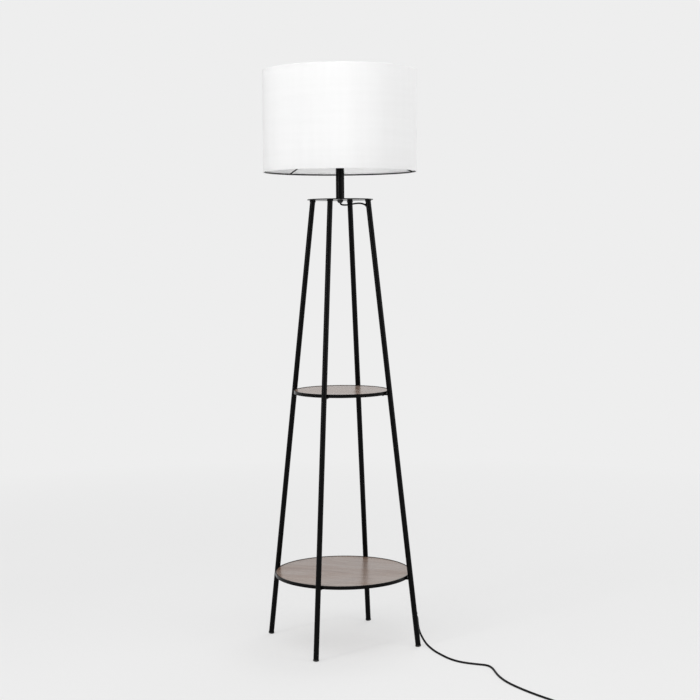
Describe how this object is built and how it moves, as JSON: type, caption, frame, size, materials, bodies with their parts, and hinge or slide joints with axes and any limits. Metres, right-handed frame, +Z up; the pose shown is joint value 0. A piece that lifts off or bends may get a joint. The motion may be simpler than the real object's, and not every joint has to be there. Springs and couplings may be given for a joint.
{
  "type": "shelf floor lamp",
  "caption": "Tall floor lamp with a drum shade on a short stem, splayed tube legs under a round plate, round shelves in steel hoops, and a flex with a foot switch and plug.",
  "frame": {"origin": "on the floor, on the lamp's vertical axis, under the middle of the shade", "axes": "+Z up; the legs stand on the X and Y axes and the cord leaves the leg at +X"},
  "size_m": [0.8929, 0.7547, 1.5],
  "materials": {
    "black_steel": "satin black powder coat",
    "black_screws": "black oxide",
    "zinc_steel": "zinc plated",
    "black_rubber": "matt moulded",
    "shelf_wood": "grey-brown wood grain laminate, satin",
    "shade_fabric": "plain white linen weave over a clear lining",
    "dark_wire": "dark painted wire",
    "black_plastic": "fine matt",
    "switch_plastic": "fine matt, moulded",
    "button_plastic": "semi-gloss",
    "white_ceramic": "glazed white",
    "brass": "plain",
    "nickel": "nickel plated",
    "opal_glass": "opal white",
    "cord_sheath": "black two-core flat sheath"
  },
  "bodies": {
    "lamp": {"top_plate": "black_steel", "leg_inserts": "black_steel", "plate_screws": "black_screws", "leg_front": "black_steel", "leg_right": "black_steel", "leg_rear": "black_steel", "leg_left": "black_steel", "foot_front": "black_rubber", "foot_right": "black_rubber", "foot_rear": "black_rubber", "foot_left": "black_rubber", "lower_lugs": "black_steel", "upper_lugs": "black_steel", "lower_hoop": "black_steel", "upper_hoop": "black_steel", "lower_board": "shelf_wood", "upper_board": "shelf_wood", "lower_shelf_screws": "black_screws", "upper_shelf_screws": "black_screws", "stem_tube": "black_steel", "stem_base_bush": "zinc_steel", "stem_cap": "black_steel", "threaded_nipple": "zinc_steel", "nipple_washer": "zinc_steel", "nipple_nut": "zinc_steel", "cord_gland": "black_plastic", "holder_cap": "black_plastic", "holder_body": "black_plastic", "holder_core": "white_ceramic", "screw_shell": "brass", "centre_contact": "brass", "lower_clamp_ring": "black_plastic", "upper_clamp_ring": "black_plastic", "shade_cover": "shade_fabric", "shade_bottom_frame": "dark_wire", "shade_top_ring": "dark_wire", "bulb_base": "nickel", "bulb_glass": "opal_glass", "held_flex": "cord_sheath", "outlet_flex": "cord_sheath", "loop_grommet": "black_rubber", "cord_outlet": "black_rubber", "floor_cord": "cord_sheath", "switch_lead": "cord_sheath", "cord_coil": "cord_sheath", "plug_lead": "cord_sheath", "switch_base": "switch_plastic", "switch_cover": "switch_plastic", "switch_block": "black_plastic", "switch_screws": "zinc_steel", "switch_sleeves": "black_rubber", "plug_body": "switch_plastic", "plug_pins": "nickel"},
    "button": {"switch_button": "button_plastic"}
  },
  "joints": [
    {"name": "button_press", "type": "slide", "parent": "lamp", "child": "button", "axis": [0, 0, -1], "range_m": [0, 0.003], "stiffness_N_per_m": 1500}
  ]
}
